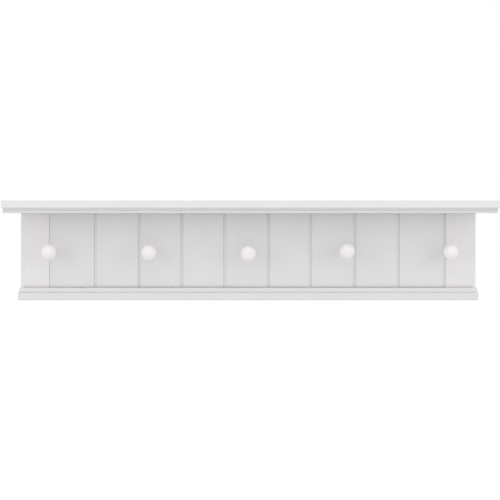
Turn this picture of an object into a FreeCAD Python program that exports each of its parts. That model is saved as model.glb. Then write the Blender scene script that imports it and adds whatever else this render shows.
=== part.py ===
# Wall rack with a shelf: a panel of upright tongue-and-groove boards between a moulded shelf and a
# moulded base, with five turned wooden pegs, screwed and glued to three battens behind the boards.
#
# Frame, in millimetres: X runs along the rack, Y runs into the wall and Z is up. The wall is the plane
# y = 0, so the whole rack lies at negative y. The origin is on the wall, midway between the two
# keyholes and level with the point where the rack hangs.
import FreeCAD, Part
import Sketcher
import math
import os

DIMENSIONS = (
    # Shelf and the moulding under its front edge: a fillet, a cove and a half-round roll.
    ("shelf_length", 1200),
    ("shelf_depth", 117),
    ("shelf_thickness", 18.5),
    ("shelf_shift", 5),
    ("shelf_edge_round", 1.5),
    ("moulding_height", 12),
    ("moulding_depth", 14),
    ("moulding_inset", 3),
    ("moulding_fillet", 1.3),
    ("moulding_cove", 4.5),
    ("moulding_roll", 3.1),
    ("moulding_roll_inset", 2.4),
    # Cornice rail, between the boards and the shelf.
    ("cornice_height", 11),
    ("cornice_projection", 12),
    ("cornice_cove", 9),
    # Panel boards. Each joint is the middle of a channel, measured from the middle of the panel. The
    # channel's floor is a lip on one board, and the next board's edge makes its right side.
    ("panel_length", 1124),
    ("board_thickness", 12),
    ("channel_width", 6.4),
    ("channel_depth", 2.2),
    ("board_ease", 0.8),
    ("tongue_length", 4.5),
    ("tongue_thickness", 2.8),
    ("tongue_slot_depth", 5),
    ("tongue_slot_width", 3),
    ("back_cheek", 3),
    ("joint_gap", 0.3),
    ("housing_depth", 6),
    ("housing_gap", 1),
    # Each board's foot is thinned from its face, and its shoulder stops short of the bead by a
    # shadow line, which is finer under the two end boards.
    ("rebate_depth", 3.6),
    ("shadow_line", 0.9),
    ("end_shadow_line", 0.4),
    ("board_head_room", 1),
    ("joint_01", -489),
    ("joint_02", -378),
    ("joint_03", -269),
    ("joint_04", -164),
    ("joint_05", -58),
    ("joint_06", 50),
    ("joint_07", 154),
    ("joint_08", 263),
    ("joint_09", 371),
    ("joint_10", 485),
    # Framing behind and beside the boards.
    ("end_cap_thickness", 8),
    ("end_cap_round", 0.8),
    ("batten_thickness", 20),
    ("top_batten_height", 40),
    ("peg_batten_height", 40),
    ("bottom_batten_height", 30),
    ("panel_height", 182.6),
    ("hang_drop", 15),
    # Base: a plain board with a round-nosed bead board on it.
    ("base_height", 19.2),
    ("base_projection", 10),
    ("base_end_overhang", 5.5),
    ("base_bottom_round", 3),
    ("base_top_round", 1.2),
    ("bead_height", 12.2),
    ("bead_projection", 7),
    ("bead_end_overhang", 3.5),
    ("bead_top_round", 5.2),
    ("bead_bottom_round", 1.2),
    # Pegs, measured from the face of the boards. Each position is the middle of a peg, and each rise
    # is its height above the middle of the row.
    ("peg_drop", 95.5),
    ("peg_01", -487),
    ("peg_02", -243),
    ("peg_03", 0),
    ("peg_04", 241.5),
    ("peg_05", 495),
    ("peg_rise_01", 0.5),
    ("peg_rise_02", -0.5),
    ("peg_rise_03", -2.5),
    ("peg_rise_04", 2.5),
    ("peg_rise_05", 1),
    ("peg_reach", 55),
    ("peg_head_radius", 19),
    ("peg_head_middle", 38),
    ("peg_shoulder_radius", 13),
    ("peg_neck_curve", 22),
    ("peg_collar_radius", 10),
    ("peg_collar_thickness", 2),
    ("peg_tenon_radius", 5),
    ("peg_tenon_length", 22),
    # Keyhole hanger plates.
    ("hanger_span", 800),
    ("plate_width", 18),
    ("plate_height", 36),
    ("plate_thickness", 2),
    ("plate_round", 3),
    ("plate_above_hang_point", 13),
    ("keyhole_diameter", 10),
    ("keyhole_slot_width", 5),
    ("keyhole_travel", 9),
    ("head_pocket_width", 12),
    ("head_pocket_height", 22),
    ("head_pocket_depth", 10),
    ("head_pocket_drop", 16),
    ("plate_clearance", 0.2),
    # Screws and pins.
    ("long_screw_diameter", 4.5),
    ("long_screw_head", 8.6),
    ("shelf_screw_length", 53),
    ("shelf_screw_counterbore", 12),
    ("base_screw_length", 50),
    ("board_screw_diameter", 3.5),
    ("board_screw_head", 7),
    ("board_screw_length", 28),
    ("hanger_screw_diameter", 2.6),
    ("hanger_screw_head", 4.8),
    ("hanger_screw_length", 12),
    ("hanger_screw_inset", 4.5),
    ("pin_diameter", 1.8),
    ("pin_length", 30),
    ("cap_pin_inset", 10),
    ("moulding_pin_length", 21),
    ("moulding_pin_spacing", 230),
    ("drill_clearance", 0.2),
    ("drill_point", 0.5),
    ("screw_spacing_inner", 60),
    ("screw_spacing_middle", 270),
    ("screw_spacing_outer", 470),
)

BOARD_COUNT = 11
PEG_COUNT = 5
SHEET_NAME = "Dimensions"
COUNTERSINK_ANGLE = 90
LONG_SCREW_COLUMNS = tuple(
    f"{sign}screw_spacing_{name}"
    for sign in ("-", "")
    for name in ("inner", "middle", "outer")
)

# Rough first and last angles of the arcs in a peg's outline, in degrees.
NECK_ANGLES = (153, 228)
SHOULDER_ANGLES = (-23, 48)
FRONT_ANGLES = (-90, -23)

# Proportions of the cross in a screw's head: its arms to the head's radius, its blades to the
# screw's diameter and its depth to the head's.
CROSS_ARM = 1.1
CROSS_BLADE = 0.2
CROSS_DEPTH = 0.8

# Levels, from the hanging point down to the underside of the rack.
CORNICE_BOTTOM = "hang_drop"
SHELF_BOTTOM = "(hang_drop + cornice_height)"
PANEL_BOTTOM = "(hang_drop - panel_height)"
BASE_TOP = "(hang_drop - panel_height - bead_height)"
BASE_BOTTOM = "(hang_drop - panel_height - bead_height - base_height)"
PEG_LEVEL = "(hang_drop - peg_drop)"
PANEL_DEPTH = "(batten_thickness + board_thickness)"
PANEL_END = "(panel_length / 2)"
FRAME_END = "(panel_length / 2 - end_cap_thickness)"
LONG_HEAD_DEPTH = "(long_screw_head - long_screw_diameter) / 2"

doc = FreeCAD.newDocument("wall_hook_rack")
sheet = doc.addObject("Spreadsheet::Sheet", SHEET_NAME)
pieces = []


def fill_sheet():
    """Writes each driving dimension as a plain number in a cell with an alias."""
    for row, (alias, number) in enumerate(DIMENSIONS, start=1):
        sheet.set(f"A{row}", alias)
        sheet.set(f"B{row}", str(number))
        sheet.setAlias(f"B{row}", alias)
    doc.recompute()


def size(alias):
    """A driving dimension read back from the sheet."""
    return float(sheet.get(alias))


def bound(text):
    """An expression over the sheet's cells, from a formula written with their bare aliases."""
    for alias in sorted((name for name, _ in DIMENSIONS), key=len, reverse=True):
        text = text.replace(alias, f"<{alias.upper()}>")
    for alias, _ in DIMENSIONS:
        text = text.replace(f"<{alias.upper()}>", f"{SHEET_NAME}.{alias}")
    return text


def place(item, across="0", into_wall="0", up="0"):
    item.setExpression("Placement.Base.x", bound(across))
    item.setExpression("Placement.Base.y", bound(into_wall))
    item.setExpression("Placement.Base.z", bound(up))


def new_body(label):
    body = doc.addObject("PartDesign::Body", label)
    body.Label = label
    pieces.append(body)
    return body


def new_sketch(body, name, role, offset="0"):
    """A sketch on one of the body's own origin planes, moved along that plane's normal."""
    sketch = body.newObject("Sketcher::SketchObject", name)
    planes = [item for item in body.Origin.OriginFeatures if item.Role == role]
    sketch.AttachmentSupport = [(planes[0], "")]
    sketch.MapMode = "FlatFace"
    sketch.setExpression("AttachmentOffset.Base.z", bound(offset))
    return sketch


def constrain(sketch, formula, *constraint):
    """Adds one dimension to a sketch and binds it to the sheet."""
    index = sketch.addConstraint(Sketcher.Constraint(*constraint))
    sketch.setExpression(f"Constraints[{index}]", bound(formula))


def pin_point(sketch, geometry, point, across, up):
    """Fixes a point of a sketch at a place measured from the sketch's origin."""
    start = sketch.getPoint(geometry, point)
    constrain(sketch, across, "DistanceX", -1, 1, geometry, point, start.x)
    start = sketch.getPoint(geometry, point)
    constrain(sketch, up, "DistanceY", -1, 1, geometry, point, start.y)


def draw_outline(sketch, corners):
    """Closes straight lines through the corners, given as pairs of formulas in order."""
    count = len(corners)
    turns = [2 * math.pi * index / count for index in range(count)]
    starts = [FreeCAD.Vector(math.cos(turn), math.sin(turn), 0) for turn in turns]
    for index in range(count):
        sketch.addGeometry(Part.LineSegment(starts[index], starts[(index + 1) % count]), False)
    for index in range(count):
        sketch.addConstraint(Sketcher.Constraint("Coincident", index, 2, (index + 1) % count, 1))
    for index, (across, up) in enumerate(corners):
        pin_point(sketch, index, 1, across, up)


def draw_rectangle(sketch, left, right, bottom, top):
    draw_outline(sketch, ((left, bottom), (right, bottom), (right, top), (left, top)))


def draw_circles(sketch, centres, diameter):
    """Draws a circle of the same diameter at each centre, given as pairs of formulas."""
    for across, up in centres:
        circle = Part.Circle(FreeCAD.Vector(1, 1, 0), FreeCAD.Vector(0, 0, 1), 1)
        geometry = sketch.addGeometry(circle, False)
        constrain(sketch, diameter, "Diameter", geometry, 1.0)
        pin_point(sketch, geometry, 3, across, up)


def pad(body, sketch, length, both_ways=False, reverse=False):
    feature = body.newObject("PartDesign::Pad", f"{body.Label}_pad")
    feature.Profile = sketch
    feature.SideType = "Symmetric" if both_ways else "One side"
    feature.Reversed = reverse
    feature.setExpression("Length", bound(length))
    doc.recompute()
    return feature


def check_cut(body, before, feature):
    """Stops if a cutting feature took nothing away."""
    doc.recompute()
    if feature.Shape.Volume > before - 0.01:
        raise RuntimeError(f"{feature.Name} cut nothing from {body.Label}")


def pocket(body, sketch, depth=None, reverse=False):
    """Cuts a sketch out of a body, to a depth or, without one, through everything both ways."""
    before = body.Shape.Volume
    feature = body.newObject("PartDesign::Pocket", f"{sketch.Name}_pocket")
    feature.Profile = sketch
    feature.Reversed = reverse
    if depth is None:
        feature.SideType = "Symmetric"
        feature.Type = "ThroughAll"
    else:
        feature.setExpression("Length", bound(depth))
    check_cut(body, before, feature)
    return feature


def countersunk_holes(body, sketch, diameter, head, reverse=False, depth=None):
    """Drills countersunk holes at a sketch's circles, through everything or to a depth."""
    before = body.Shape.Volume
    doc.recompute()
    hole = body.newObject("PartDesign::Hole", f"{sketch.Name}_hole")
    hole.Profile = sketch
    doc.recompute()
    hole.ThreadType = "None"
    hole.HoleCutType = "Countersink"
    hole.HoleCutCountersinkAngle = COUNTERSINK_ANGLE
    hole.Reversed = reverse
    hole.setExpression("Diameter", bound(diameter))
    hole.setExpression("HoleCutDiameter", bound(head))
    if depth is None:
        hole.DepthType = "ThroughAll"
    else:
        hole.DepthType = "Dimension"
        hole.DrillPoint = "Flat"
        hole.setExpression("Depth", bound(depth))
    check_cut(body, before, hole)
    return hole


def round_edges(body, name, radius, wanted):
    """Fillets the edges of the body's last feature whose middle and direction pass a test."""
    base = body.Tip
    names = []
    for index, edge in enumerate(base.Shape.Edges, start=1):
        middle = edge.valueAt((edge.FirstParameter + edge.LastParameter) / 2)
        along = edge.tangentAt((edge.FirstParameter + edge.LastParameter) / 2)
        if wanted(middle, along):
            names.append(f"Edge{index}")
    feature = body.newObject("PartDesign::Fillet", name)
    feature.Base = (base, names)
    feature.setExpression("Radius", bound(radius))
    doc.recompute()
    return feature


def near(first, second):
    return abs(first - second) < 0.05


def is_along(direction, axis):
    return abs(getattr(direction, axis)) > 0.99


def front_and_end_edges(level=None):
    """A test for the level edges along a board's front and ends, at one height if it is given."""

    def is_wanted(middle, along):
        if is_along(along, "z") or near(middle.y, 0):
            return False
        return level is None or near(middle.z, level)

    return is_wanted


# Shelf ---------------------------------------------------------------------------------------


def make_shelf_board():
    body = new_body("shelf_board")
    outline = new_sketch(body, "shelf_outline", "XY_Plane")
    draw_rectangle(outline, "-shelf_length / 2", "shelf_length / 2", "-shelf_depth", "0")
    pad(body, outline, "shelf_thickness")
    round_edges(body, "shelf_rounding", "shelf_edge_round", front_and_end_edges())
    screws = new_sketch(body, "shelf_screw_holes", "XY_Plane")
    row = "-batten_thickness / 2"
    centres = [(f"{column} - shelf_shift", row) for column in LONG_SCREW_COLUMNS]
    draw_circles(screws, centres, "long_screw_diameter + drill_clearance")
    covered = "top_batten_height - shelf_screw_counterbore + cornice_height"
    bite = f"shelf_screw_length - {LONG_HEAD_DEPTH} - ({covered}) + drill_point"
    pocket(body, screws, bite, reverse=True)
    pins = new_sketch(body, "shelf_pin_holes", "XY_Plane")
    draw_circles(pins, moulding_pin_centres(), "pin_diameter + drill_clearance")
    pocket(body, pins, "moulding_pin_length - moulding_height + drill_point", reverse=True)
    place(body, "shelf_shift", "0", SHELF_BOTTOM)


def moulding_pin_centres():
    """Middles of the pins in the moulding's lip, seen from above, in the shelf's own frame."""
    row = "-shelf_depth + moulding_inset + (moulding_cove + moulding_depth) / 2"
    steps = (-2, -1, 0, 1, 2)
    return [(f"{step} * moulding_pin_spacing", row) for step in steps]


def make_shelf_moulding():
    """The strip under the shelf's front edge: a fillet, a cove and a half-round roll below it."""
    body = new_body("shelf_moulding")
    section = new_sketch(body, "moulding_section", "YZ_Plane")
    front = "-shelf_depth + moulding_inset"
    draw_rectangle(section, front, f"{front} + moulding_depth", "-moulding_height", "0")
    length = "shelf_length - 2 * moulding_inset"
    pad(body, section, length, both_ways=True)
    cove = new_sketch(body, "moulding_cove_section", "YZ_Plane")
    centre = (front, "-moulding_fillet - moulding_cove")
    draw_circles(cove, [centre], "2 * moulding_cove")
    pocket(body, cove)
    under = new_sketch(body, "moulding_undercut", "YZ_Plane")
    draw_rectangle(
        under,
        f"{front} - 1",
        f"{front} + moulding_roll_inset + moulding_roll",
        "-moulding_height - 1",
        "-moulding_fillet - moulding_cove",
    )
    pocket(body, under)
    roll = new_sketch(body, "moulding_roll_section", "YZ_Plane")
    roll_middle = (
        f"{front} + moulding_roll_inset + moulding_roll",
        "-moulding_height + moulding_roll",
    )
    draw_circles(roll, [roll_middle], "2 * moulding_roll")
    pad(body, roll, length, both_ways=True)
    pins = new_sketch(body, "moulding_pin_holes", "XY_Plane")
    draw_circles(pins, moulding_pin_centres(), "pin_diameter + drill_clearance")
    pocket(body, pins)
    place(body, "shelf_shift", "0", SHELF_BOTTOM)


def make_cornice_rail():
    """The coved rail that houses the tops of the boards and carries the shelf."""
    body = new_body("cornice_rail")
    section = new_sketch(body, "cornice_section", "YZ_Plane")
    front = f"-{PANEL_DEPTH} - cornice_projection"
    draw_rectangle(section, front, "0", "0", "cornice_height")
    pad(body, section, "panel_length", both_ways=True)
    cove = new_sketch(body, "cornice_cove_section", "YZ_Plane")
    draw_circles(cove, [(front, "0")], "2 * cornice_cove")
    pocket(body, cove)
    cut_housing(body, "0", reverse=True)
    screws = new_sketch(body, "cornice_screw_holes", "XY_Plane")
    row = "-batten_thickness / 2"
    centres = [(column, row) for column in LONG_SCREW_COLUMNS]
    draw_circles(screws, centres, "long_screw_diameter + drill_clearance")
    pocket(body, screws)
    place(body, "0", "0", CORNICE_BOTTOM)


def cut_housing(body, level, reverse):
    """Cuts the slot that the ends of the boards sit in, from one end cap to the other."""
    slot = new_sketch(body, f"{body.Label}_housing", "XY_Plane", level)
    draw_rectangle(
        slot,
        f"-{FRAME_END}",
        FRAME_END,
        f"-{PANEL_DEPTH} - housing_gap",
        "-batten_thickness",
    )
    pocket(body, slot, "housing_depth", reverse)


# Panel ---------------------------------------------------------------------------------------


def board_edges(number):
    """Left limits of a board and of the next one, as formulas, with the end caps outside them."""
    left = f"(joint_{number - 1:02d} + channel_width / 2)" if number > 1 else f"-{FRAME_END}"
    right = f"(joint_{number:02d} + channel_width / 2)" if number < BOARD_COUNT else FRAME_END
    return left, right


def left_edge_corners(is_plain):
    """Corners of a board's left side, from its back to its face. A joint side has the slot."""
    face = "-board_thickness"
    if is_plain:
        return [("0", "0"), ("0", face)]
    slot_back = "-back_cheek"
    slot_front = "-back_cheek - tongue_slot_width"
    return [
        ("0", "0"),
        ("0", slot_back),
        ("tongue_slot_depth", slot_back),
        ("tongue_slot_depth", slot_front),
        ("0", slot_front),
        ("0", f"{face} + board_ease"),
        ("board_ease", face),
    ]


def right_edge_corners(width, is_plain):
    """Corners of a board's right side, from its face to its back.

    A joint side has the channel's floor, as a lip, and the tongue beyond it.
    """
    face = "-board_thickness"
    if is_plain:
        return [(width, face), (width, "0")]
    side = f"{width} - joint_gap"
    tip = f"{width} + tongue_length"
    play = "(tongue_slot_width - tongue_thickness) / 2"
    tongue_front = f"-back_cheek - tongue_slot_width + {play}"
    tongue_back = f"-back_cheek - {play}"
    return [
        (f"{width} - channel_width - board_ease", face),
        (f"{width} - channel_width", f"{face} + board_ease"),
        (f"{width} - channel_width", f"{face} + channel_depth"),
        (side, f"{face} + channel_depth"),
        (side, tongue_front),
        (tip, tongue_front),
        (tip, tongue_back),
        (side, tongue_back),
        (side, "0"),
    ]


def make_board(number):
    """One upright board: its section padded to length, then bored for a peg and for screws."""
    body = new_body(f"panel_board_{number:02d}")
    left, right = board_edges(number)
    width = f"({right} - {left})"
    section = new_sketch(body, f"board_section_{number:02d}", "XY_Plane")
    is_first = number == 1
    is_last = number == BOARD_COUNT
    corners = left_edge_corners(is_first) + right_edge_corners(width, is_last)
    draw_outline(section, corners)
    pad(body, section, "panel_height + 2 * housing_depth - board_head_room")

    foot = new_sketch(body, f"board_{number:02d}_foot", "XY_Plane")
    draw_rectangle(
        foot,
        "-1",
        f"{width} + tongue_length + 1",
        "-board_thickness - 1",
        "-board_thickness + rebate_depth",
    )
    shadow_line = "end_shadow_line" if is_first or is_last else "shadow_line"
    pocket(body, foot, f"housing_depth + {shadow_line}", reverse=True)

    floor = "(panel_height - housing_depth)"
    for peg in pegs_through(number):
        bore = new_sketch(body, f"board_{number:02d}_peg_{peg}_bore", "XZ_Plane")
        level = f"{floor} - peg_drop + peg_rise_{peg:02d} + 2 * housing_depth"
        centre = (f"peg_{peg:02d} - {left}", level)
        draw_circles(bore, [centre], "2 * peg_tenon_radius + drill_clearance")
        pocket(body, bore)

    screws = new_sketch(body, f"board_{number:02d}_screw_holes", "XZ_Plane")
    centres = [(f"{width} / 2", level) for level in board_screw_levels("housing_depth")]
    draw_circles(screws, centres, "board_screw_diameter + drill_clearance")
    bite = "board_screw_length - batten_thickness + drill_point"
    pocket(body, screws, bite, reverse=True)
    place(body, left, "-batten_thickness", f"{PANEL_BOTTOM} - housing_depth")


def board_limits():
    """Left limit of each board in turn, and the right limit of the last."""
    frame_end = size("panel_length") / 2 - size("end_cap_thickness")
    half_channel = size("channel_width") / 2
    joints = [size(f"joint_{number:02d}") + half_channel for number in range(1, BOARD_COUNT)]
    return [-frame_end, *joints, frame_end]


def pegs_through(number):
    """Pegs whose tenon meets a board or its tongue."""
    limits = board_limits()
    first, last = limits[number - 1], limits[number]
    radius = size("peg_tenon_radius")
    reach = size("tongue_length") + radius
    centres = [(peg, size(f"peg_{peg:02d}")) for peg in range(1, PEG_COUNT + 1)]
    return [peg for peg, centre in centres if first - radius < centre < last + reach]


def board_screw_levels(panel_bottom):
    """Heights of the screws that hold a board, measured where the panel's bottom is given."""
    low = f"{panel_bottom} + bottom_batten_height / 2"
    high = f"{panel_bottom} + panel_height - top_batten_height / 2"
    return low, high


def make_end_cap(label, side):
    """A thin upright that closes one end of the panel: side is -1 at the left and 1 at the right."""
    body = new_body(label)
    outline = new_sketch(body, f"{label}_outline", "XY_Plane")
    half = "end_cap_thickness / 2"
    draw_rectangle(outline, f"-{half}", half, f"-{PANEL_DEPTH}", "0")
    pad(body, outline, "panel_height")
    outside = side * size("end_cap_thickness") / 2
    round_edges(
        body,
        f"{label}_rounding",
        "end_cap_round",
        lambda point, along: is_along(along, "z") and near(point.x, outside) and not near(point.y, 0),
    )
    pins = new_sketch(body, f"{label}_pin_holes", "YZ_Plane")
    centres = [("-batten_thickness / 2", level) for level in end_pin_levels("0")]
    draw_circles(pins, centres, "pin_diameter + drill_clearance")
    pocket(body, pins)
    place(body, f"{side} * ({PANEL_END} - end_cap_thickness / 2)", "0", PANEL_BOTTOM)


def end_pin_levels(panel_bottom):
    """Heights of the pins through an end cap, one into the end of each batten."""
    bottom = f"{panel_bottom} + bottom_batten_height - cap_pin_inset"
    peg = f"{panel_bottom} + panel_height - peg_drop + peg_batten_height / 2 - cap_pin_inset"
    top = f"{panel_bottom} + panel_height - cap_pin_inset"
    return bottom, peg, top


# Battens -------------------------------------------------------------------------------------


def make_batten(label, height, bottom):
    """A rail behind the boards, from one end cap to the other, with its back on the wall."""
    body = new_body(label)
    outline = new_sketch(body, f"{label}_outline", "XY_Plane")
    draw_rectangle(outline, f"-{FRAME_END}", FRAME_END, "-batten_thickness", "0")
    pad(body, outline, height)
    place(body, "0", "0", bottom)
    return body


def bore_batten_ends(body, level):
    """Bores both ends of a batten for the pins through the end caps."""
    for side, formula in (("left", f"-{FRAME_END}"), ("right", FRAME_END)):
        pins = new_sketch(body, f"{body.Label}_{side}_pin_hole", "YZ_Plane", formula)
        draw_circles(pins, [("-batten_thickness / 2", level)], "pin_diameter + drill_clearance")
        depth = "pin_length - end_cap_thickness + drill_point"
        pocket(body, pins, depth, reverse=side == "left")


def board_middles():
    """Middles of the boards, as formulas."""
    limits = [board_edges(number) for number in range(1, BOARD_COUNT + 1)]
    return [f"({left} + {right}) / 2" for left, right in limits]


def screw_boards_to(body, level):
    """Countersunk holes through a batten's back, one behind the middle of each board."""
    screws = new_sketch(body, f"{body.Label}_board_screws", "XZ_Plane")
    centres = [(middle, level) for middle in board_middles()]
    draw_circles(screws, centres, "board_screw_diameter + drill_clearance")
    countersunk_holes(
        body,
        screws,
        "board_screw_diameter + drill_clearance",
        "board_screw_head + drill_clearance",
        reverse=True,
    )


def make_top_batten():
    body = make_batten("top_batten", "top_batten_height", "hang_drop - top_batten_height")
    bore_batten_ends(body, "top_batten_height - cap_pin_inset")
    screw_boards_to(body, "top_batten_height / 2")
    hang_level = "top_batten_height - hang_drop"
    for side, middle in (("left", "-hanger_span / 2"), ("right", "hanger_span / 2")):
        recess = new_sketch(body, f"{side}_plate_recess", "XZ_Plane")
        reach = "(plate_width / 2 + plate_clearance)"
        top = f"{hang_level} + plate_above_hang_point + plate_clearance"
        draw_rectangle(
            recess,
            f"{middle} - {reach}",
            f"{middle} + {reach}",
            f"{top} - plate_height - 2 * plate_clearance",
            top,
        )
        pocket(body, recess, "plate_thickness", reverse=True)
        head_room = new_sketch(body, f"{side}_head_pocket", "XZ_Plane")
        low = f"{hang_level} - head_pocket_drop"
        draw_rectangle(
            head_room,
            f"{middle} - head_pocket_width / 2",
            f"{middle} + head_pocket_width / 2",
            low,
            f"{low} + head_pocket_height",
        )
        pocket(body, head_room, "plate_thickness + head_pocket_depth", reverse=True)
        pilots = new_sketch(body, f"{side}_plate_pilot_holes", "XZ_Plane")
        centres = [(middle, f"{hang_level} + {level}") for level in plate_screw_levels()]
        draw_circles(pilots, centres, "hanger_screw_diameter + drill_clearance")
        pocket(body, pilots, "hanger_screw_length + drill_point", reverse=True)
    screws = new_sketch(body, "top_batten_shelf_screws", "XY_Plane")
    centres = [(column, "-batten_thickness / 2") for column in LONG_SCREW_COLUMNS]
    draw_circles(screws, centres, "long_screw_diameter + drill_clearance")
    pocket(body, screws)
    counterbores = new_sketch(body, "top_batten_counterbores", "XY_Plane")
    draw_circles(counterbores, centres, "long_screw_head + drill_clearance")
    pocket(body, counterbores, "shelf_screw_counterbore", reverse=True)


def plate_screw_levels():
    """Heights of a hanger plate's two screws above and below the hanging point."""
    high = "plate_above_hang_point - hanger_screw_inset"
    low = "plate_above_hang_point - plate_height + hanger_screw_inset"
    return high, low


def make_peg_batten():
    bottom = f"{PEG_LEVEL} - peg_batten_height / 2"
    body = make_batten("peg_batten", "peg_batten_height", bottom)
    bore_batten_ends(body, "peg_batten_height - cap_pin_inset")
    sockets = new_sketch(body, "peg_sockets", "XZ_Plane", "batten_thickness")
    level = "peg_batten_height / 2"
    pegs = range(1, PEG_COUNT + 1)
    centres = [(f"peg_{peg:02d}", f"{level} + peg_rise_{peg:02d}") for peg in pegs]
    draw_circles(sockets, centres, "2 * peg_tenon_radius + drill_clearance")
    pocket(body, sockets, "peg_tenon_length - board_thickness + drill_point")


def make_bottom_batten():
    body = make_batten("bottom_batten", "bottom_batten_height", PANEL_BOTTOM)
    bore_batten_ends(body, "bottom_batten_height - cap_pin_inset")
    screw_boards_to(body, "bottom_batten_height / 2")
    screws = new_sketch(body, "bottom_batten_base_screws", "XY_Plane")
    centres = [(column, "-batten_thickness / 2") for column in LONG_SCREW_COLUMNS]
    draw_circles(screws, centres, "long_screw_diameter + drill_clearance")
    bite = "base_screw_length - base_height - bead_height + drill_point"
    pocket(body, screws, bite, reverse=True)


# Base ----------------------------------------------------------------------------------------


def make_base_layer(label, height, projection, overhang, bottom):
    """A flat board that runs past the panel at the front and at both ends."""
    body = new_body(label)
    outline = new_sketch(body, f"{label}_outline", "XY_Plane")
    draw_rectangle(
        outline,
        f"-{PANEL_END} - {overhang}",
        f"{PANEL_END} + {overhang}",
        f"-{PANEL_DEPTH} - {projection}",
        "0",
    )
    pad(body, outline, height)
    place(body, "0", "0", bottom)
    return body


def make_base_bead():
    body = make_base_layer(
        "base_bead", "bead_height", "bead_projection", "bead_end_overhang", BASE_TOP
    )
    top = size("bead_height")
    round_edges(body, "bead_nosing", "bead_top_round", front_and_end_edges(top))
    round_edges(body, "bead_underside", "bead_bottom_round", front_and_end_edges(0))
    cut_housing(body, "bead_height", reverse=False)
    screws = new_sketch(body, "bead_screw_holes", "XY_Plane")
    centres = [(column, "-batten_thickness / 2") for column in LONG_SCREW_COLUMNS]
    draw_circles(screws, centres, "long_screw_diameter + drill_clearance")
    pocket(body, screws)


def make_base_board():
    body = make_base_layer(
        "base_board", "base_height", "base_projection", "base_end_overhang", BASE_BOTTOM
    )
    round_edges(body, "base_bottom_rounding", "base_bottom_round", front_and_end_edges(0))
    top = size("base_height")
    round_edges(body, "base_top_rounding", "base_top_round", front_and_end_edges(top))
    screws = new_sketch(body, "base_screw_holes", "XY_Plane")
    centres = [(column, "-batten_thickness / 2") for column in LONG_SCREW_COLUMNS]
    draw_circles(screws, centres, "long_screw_diameter + drill_clearance")
    countersunk_holes(
        body,
        screws,
        "long_screw_diameter + drill_clearance",
        "long_screw_head + drill_clearance",
        reverse=True,
    )


# Pegs ----------------------------------------------------------------------------------------


def add_arc(sketch, across, up, radius, first_degrees, last_degrees):
    """Adds an arc about a centre, anticlockwise between two angles, and returns its number."""
    circle = Part.Circle(FreeCAD.Vector(across, up, 0), FreeCAD.Vector(0, 0, 1), radius)
    first = math.radians(first_degrees)
    last = math.radians(last_degrees)
    return sketch.addGeometry(Part.ArcOfCircle(circle, first, last), False)


def make_peg(number):
    """A turned peg: tenon, collar, waisted neck and a nearly round head, turned about its axis."""
    body = new_body(f"peg_{number:02d}")
    profile = new_sketch(body, f"peg_profile_{number}", "XY_Plane")
    tenon = size("peg_tenon_length")
    tenon_radius = size("peg_tenon_radius")
    collar = size("peg_collar_radius")
    collar_face = -size("peg_collar_thickness")
    reach = -size("peg_reach")
    corners = (
        (0, reach),
        (0, tenon),
        (tenon_radius, tenon),
        (tenon_radius, 0),
        (collar, 0),
        (collar, collar_face),
    )
    spots = [FreeCAD.Vector(across, along, 0) for across, along in corners]
    for start, end in zip(spots, spots[1:]):
        profile.addGeometry(Part.LineSegment(start, end), False)

    # Three tangent arcs, drawn near their places. The constraints then set them exactly.
    waist = size("peg_neck_curve")
    shoulder = size("peg_shoulder_radius")
    head = size("peg_head_radius")
    middle = -size("peg_head_middle")
    neck_first, neck_last = NECK_ANGLES
    across = collar - waist * math.cos(math.radians(neck_first))
    along = collar_face - waist * math.sin(math.radians(neck_first))
    neck_arc = add_arc(profile, across, along, waist, neck_first, neck_last)
    shoulder_arc = add_arc(profile, head - shoulder, middle, shoulder, *SHOULDER_ANGLES)
    front_arc = add_arc(profile, 0, reach + head, head, *FRONT_ANGLES)

    pin_point(profile, 0, 1, "0", "-peg_reach")
    pin_point(profile, 0, 2, "0", "peg_tenon_length")
    pin_point(profile, 3, 1, "peg_tenon_radius", "0")
    pin_point(profile, 4, 2, "peg_collar_radius", "-peg_collar_thickness")
    pin_point(profile, shoulder_arc, 3, "peg_head_radius - peg_shoulder_radius", "-peg_head_middle")
    constrain(profile, "peg_neck_curve", "Radius", neck_arc, waist)
    constrain(profile, "peg_shoulder_radius", "Radius", shoulder_arc, shoulder)
    join = Sketcher.Constraint
    for line in (1, 3):
        profile.addConstraint(join("Horizontal", line))
    for line in (2, 4):
        profile.addConstraint(join("Vertical", line))
    for first, second in ((0, 1), (1, 2), (2, 3), (3, 4), (4, neck_arc)):
        profile.addConstraint(join("Coincident", first, 2, second, 1))
    profile.addConstraint(join("Coincident", front_arc, 1, 0, 1))
    profile.addConstraint(join("PointOnObject", front_arc, 3, -2))
    profile.addConstraint(join("Tangent", front_arc, 2, shoulder_arc, 1))
    profile.addConstraint(join("Tangent", neck_arc, 2, shoulder_arc, 2))

    turned = body.newObject("PartDesign::Revolution", f"peg_turning_{number}")
    turned.Profile = profile
    turned.ReferenceAxis = (profile, ["V_Axis"])
    turned.Angle = 360
    doc.recompute()
    level = f"{PEG_LEVEL} + peg_rise_{number:02d}"
    place(body, f"peg_{number:02d}", f"-{PANEL_DEPTH}", level)


# Hanger plates -------------------------------------------------------------------------------


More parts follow.
